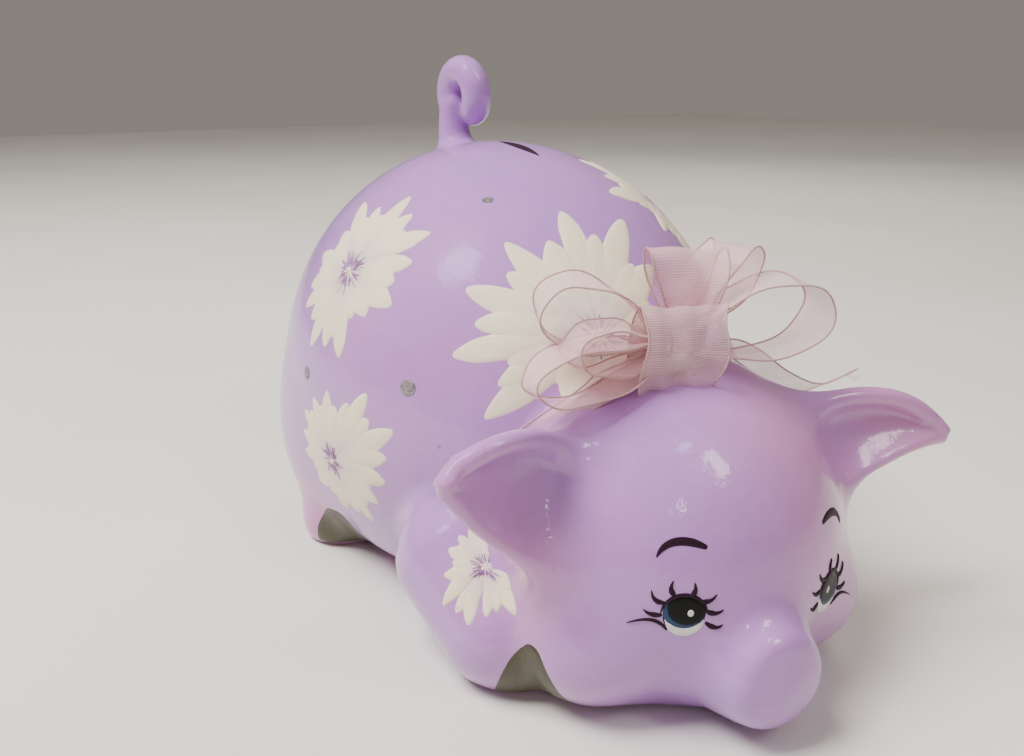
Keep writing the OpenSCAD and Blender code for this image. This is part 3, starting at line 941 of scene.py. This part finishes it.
# glitter dots
glitter = Paint("glitter_dots", GLITTER)
for near, radii in (((-75.1, -58.8, 95.3), (3.9, 3.3)), ((-90.8, -0.5, 87.3), (3.2, 3.0)),
                    ((-33.5, -45.7, 156.3), (2.6, 1.8)), ((-71, -73, 77.3), (0.6, 0.5)),
                    ((82, -34, 92), (3.6, 3.2)), ((40, 60, 150), (3.2, 3.0))):
    glitter.oval(Spot(near), (0, 0), radii, rings=5, sides=28, height=0.3)
glitter.done()


# ------------ bow
BOW_C = np.array([-7.0, -116.0, 116.0])
BOW_TURN = -20.0
RIBBON_W = 25.0  # full width, mm; most lengths lie gathered to less
EDGE_R = 0.33


def rotation(*turns):
    """Rotations by (axis, degrees), the last one applied first, as a numpy matrix."""
    m = Matrix.Identity(3)
    for axis, degrees in turns:
        m = m @ Matrix.Rotation(math.radians(degrees), 3, axis)
    return np.array(m)


def ribbon(name, node, centre, across, flat, material):
    """A strip of ribbon: centre line points, and at each the array of offsets across it."""
    n, m = across.shape[:2]
    points = (centre[:, None] + across).reshape(-1, 3)
    obj = bank_piece(name, points, grid_faces(n, m), material)
    length = np.concatenate([[0], np.cumsum(np.linalg.norm(np.diff(centre, axis=0), axis=1))])
    v = np.linspace(0, flat[0], m)
    uv = np.stack(np.broadcast_arrays(v[None], length[:, None]), -1).reshape(-1, 2) / 1000
    add_uv(obj, uv)
    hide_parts(node)
    grid = points.reshape(n, m, 3)
    tubes = merged([tube(grid[:, k], EDGE_R) for k in (0, -1)])
    edge = bank_piece(name + "_wired_edges", *tubes, WIRED_EDGE)


def loop(name, node, move, turns, length, high, share, seed, opening, lean):
    """One loop of ribbon: a drop-shaped ring from the knot, gathered at both ends."""
    n, m, width = 90, 15, RIBBON_W * share
    a = np.linspace(0, 2 * math.pi, n)
    rng = np.random.default_rng(seed)
    x = length * (1 - np.cos(a)) / 2
    z = -high * np.sin(a) * np.abs(np.sin(a / 2)) ** 0.7 / 2 + lean * np.sin(a / 2) ** 2
    centre = np.stack([x, 0 * x, z], -1)
    centre[:, 1] += 0.8 * np.sin(a + rng.uniform(0, 6))
    way = np.gradient(centre, axis=0)
    way /= np.linalg.norm(way, axis=1, keepdims=True)
    side = np.array([0, 1.0, 0]) + 0 * way
    out = np.cross(way, side)
    open_ = np.clip(np.minimum(a, 2 * math.pi - a) / opening, 0, 1)
    open_ = open_ * open_ * (3 - 2 * open_)
    w = np.linspace(-1, 1, m)
    spread = width / 2 * (0.36 + 0.64 * open_)
    pleat = (1 - open_) * 2.1 + 0.35
    phase = rng.uniform(0, 6)
    fold = np.sin(3.1 * math.pi * w[None] / 2 + phase + 0.7 * np.sin(2 * a)[:, None]) * pleat[:, None]
    wave = (0.9 * np.sin(2.3 * a + phase) + 0.35 * np.sin(6.1 * a + 2 * phase))[:, None] * w[None]
    across = side[:, None] * (spread[:, None] * w[None])[..., None] + out[:, None] * (fold + wave)[..., None]
    frame_m = rotation(("Z", BOW_TURN))
    turn_m = frame_m @ rotation(*turns)
    base = BOW_C + frame_m @ np.array(move, float)
    arc = path_length(centre)
    ribbon(name, node, base + centre @ turn_m.T, across @ turn_m.T, (width, arc), ORGANZA)


# place of the loop, knot's offset, turns, length, height, share of the width, seed, opening, lean
for place, *rest in (
    ("left_high", (-4, 0, 1), [("Y", -160), ("Z", 4)], 42, 28, 0.7, 1, 1.35, 0),
    ("left_mid", (-4, -4, 0), [("Y", -176), ("Z", -12)], 34, 19, 0.6, 2, 1.35, 0),
    ("left_low", (-4, -6, -1), [("Y", -188), ("Z", -10)], 48, 21, 0.6, 3, 1.35, 0),
    ("top", (7, 2, 3), [("Z", 84), ("Y", -78)], 27, 13, 1.05, 4, 2.6, 3),
    ("top_right", (7, 2, 3), [("Z", 30), ("Y", -40)], 38, 15, 0.85, 5, 2.4, 0),
    ("right", (4, -1, 0), [("Y", -10), ("Z", 4)], 54, 30, 0.7, 6, 1.35, 0),
):
    loop("ribbon_" + place, "loop_" + place, *rest)


def centre_band():
    """The wide loop round the knot: its front face shows, wrinkled and pinched to one side."""
    n, m = 96, 49
    a = np.linspace(0, 2 * math.pi, n)
    tall, deep = 14.5, 7.3
    w = np.linspace(-1, 1, m)
    ring = np.stack([0 * a, -deep * np.cos(a), tall * np.sin(a)], -1)
    out = ring / np.linalg.norm(ring, axis=1, keepdims=True)
    width = RIBBON_W + 3
    up = np.sin(a)[:, None]
    wrinkles = 0.55 * np.sin(2.6 * w[None] * math.pi + 2.4 * up) + 0.35 * np.sin(7.3 * w[None] + 5.0 * up + 1)
    crease = wrinkles + 0.9 * w[None] ** 2 - 0.7 * np.exp(-((w[None] - 0.25 - 0.5 * up) / 0.16) ** 2)
    pinch = 1 - 0.16 * np.clip(-up, 0, 1) - 0.05 * np.sin(3 * a)[:, None]
    skew = 1.6 * up + 0.5 * np.sin(4 * a + 1)[:, None]
    across = (np.array([1.0, 0, 0])[None, None] * (width / 2 * w[None] * pinch + skew)[..., None]
              + out[:, None] * crease[..., None])
    m3 = rotation(("Z", BOW_TURN))
    base = BOW_C + m3 @ np.array([0, -8.0, -1.0])
    arc = path_length(ring)
    ribbon("ribbon_centre", "bow_centre_loop", base + ring @ m3.T, across @ m3.T, (width, arc),
           ORGANZA_BAND)


centre_band()


def on_head(right, up, lift):
    """The casting's surface in a direction from the head's middle, degrees to the right and up."""
    r, u = np.radians(right), np.radians(up)
    d = np.array([-np.sin(r) * np.cos(u), -np.cos(r) * np.cos(u), np.sin(u)])
    t = 150.0
    for _ in range(60):
        t = max(0.0, t - 0.95 * (pig_d((HEAD_C + d * t)[None])[0] - lift))
    return HEAD_C + d * t


def tail_ribbon(name, node, mids, wides, seed):
    """A loose end of ribbon along its middle line, with its width as a vector at each point."""
    n, m = 70, 13
    centre, wide = smooth_path(mids, n), smooth_path(wides, n)
    w = np.linspace(-1, 1, m)
    way = np.gradient(centre, axis=0)
    out = np.cross(way, wide)
    out /= np.linalg.norm(out, axis=1, keepdims=True)
    s = np.linspace(0, 1, n)
    gather = np.clip(s / 0.18, 0, 1) ** 1.5
    pleat = (1 - gather)[:, None] * 1.4 * np.sin(6 * w[None] + seed)
    ripple = 0.7 * np.sin(9 * s + seed)[:, None] * w[None] ** 2
    across = wide[:, None] * (w[None] / 2 * (0.55 + 0.45 * gather)[:, None])[..., None]
    across = across + out[:, None] * (pleat + ripple)[..., None]
    width = float(np.linalg.norm(wide, axis=1).mean())
    arc = path_length(centre)
    ribbon(name, node, centre, across, (width, arc), ORGANZA)


tail_ribbon("ribbon_tail_left", "bow_tail_left",
            [BOW_C + [-3, -3, -5]] + [on_head(76 + 4.5 * i, 68 - 6 * i, 2.4) for i in range(7)],
            [np.array([6, i * 1.3 - 15, 0]) for i in range(8)], 1.0)
ROUTE = [(1, -114, 112), (20, -111, 109.5), (38, -109, 102), (56, -110, 91), (74, -113, 83), (91, -117, 86)]
tail_ribbon("ribbon_tail_right", "bow_tail_right", ROUTE,
            [np.array([3, 2 * i - 16, 5]) for i in range(6)], 2.0)

# frayed threads at the end of the right tail, and the twisted end of the wire
rng = np.random.default_rng(23)
threads = []
for i in range(9):
    root = np.array([90, -117 + 0.9 * (i - 4), 85.6 + 0.25 * (i - 4)])
    reach = np.array([rng.uniform(4, 7), rng.uniform(-1, 3), rng.uniform(-1.5, 3)])
    mid = root + reach * 0.5 + rng.uniform(-1, 1, 3)
    path = bezier([root, mid, root + reach], np.linspace(0, 1, 10))
    threads.append(tube(path, np.linspace(0.16, 0.07, 10), 6))
bank_piece("ribbon_threads", *merged(threads), THREAD)

wire_path = [(-18, -112, 106), (-30, -106, 104), (-38.5, -104, 98.5), (-41.7, -110, 94.3)]
bank_piece("wire_end", *tube(bezier(wire_path, np.linspace(0, 1, 24)), 0.42, 8), GOLD)

# ------------ nodes that keep their CAD shape
for node, material in (("stopper", rubber_material()), ("glue_dab", glue_material()), ("bow_wire", GOLD)):
    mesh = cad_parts[node].data
    mesh.materials.clear()
    mesh.materials.append(material)


# ------------ floor and light
def floor():
    half = 3.0
    corners = [(-half, -half, 0), (half, -half, 0), (half, half, 0), (-half, half, 0)]
    mesh = bpy.data.meshes.new("floor")
    mesh.from_pydata(corners, [], [[0, 1, 2, 3]])
    obj = bpy.data.objects.new("floor", mesh)
    n = Nodes("floor")
    clouds = n.noise(n.position(), 3, 2)
    n.link(n.ramp(clouds, (0.3, rgb(222, 220, 216)), (0.7, rgb(230, 228, 224))), "Base Color")
    n.set(Roughness=0.42)
    mesh.materials.append(n.material)
    link(obj)


def area_light(name, at, target, size, power, colour, shape="RECTANGLE", glossy=True):
    data = bpy.data.lights.new(name, "AREA")
    data.shape, data.size, data.size_y = shape, size[0], size[1]
    data.energy, data.color = power, colour
    obj = bpy.data.objects.new(name, data)
    obj.location = at
    obj.rotation_mode = "QUATERNION"
    obj.rotation_quaternion = (Vector(target) - Vector(at)).to_track_quat("-Z", "Y")
    obj.visible_glossy = glossy
    link(obj)


floor()
area_light("key_soft", (-0.8, 0.35, 1.6), (0, 0, 0.08), (0.9, 0.9), 64, (1.0, 0.94, 0.86), glossy=False)
area_light("window", (-0.92, 0.13, 1.48), (-0.05, -0.02, 0.13), (0.42, 0.55), 5.5, (0.58, 0.68, 1.0),
           "ELLIPSE")
area_light("skylight", (-0.02, -0.66, 1.55), (-0.02, -0.14, 0.04), (0.30, 0.22), 1.6, (0.68, 0.76, 1.0),
           "ELLIPSE")
area_light("lamp", (0.29, -1.05, 1.32), (-0.02, -0.12, 0.09), (0.28, 0.44), 5, (1.0, 0.93, 0.82))
area_light("small_lamp", (-0.58, -1.30, 1.0), (-0.03, -0.12, 0.08), (0.10, 0.12), 0.9, (1.0, 0.95, 0.88))
area_light("rim", (1.1, 0.9, 1.0), (0, 0, 0.1), (0.7, 0.7), 7, (1.0, 0.90, 0.80), glossy=False)
world = bpy.data.worlds.new("studio")
world.use_nodes = True
background = world.node_tree.nodes["Background"]
background.inputs["Color"].default_value = (0.84, 0.77, 0.67, 1)
background.inputs["Strength"].default_value = 0.30
bpy.context.scene.world = world
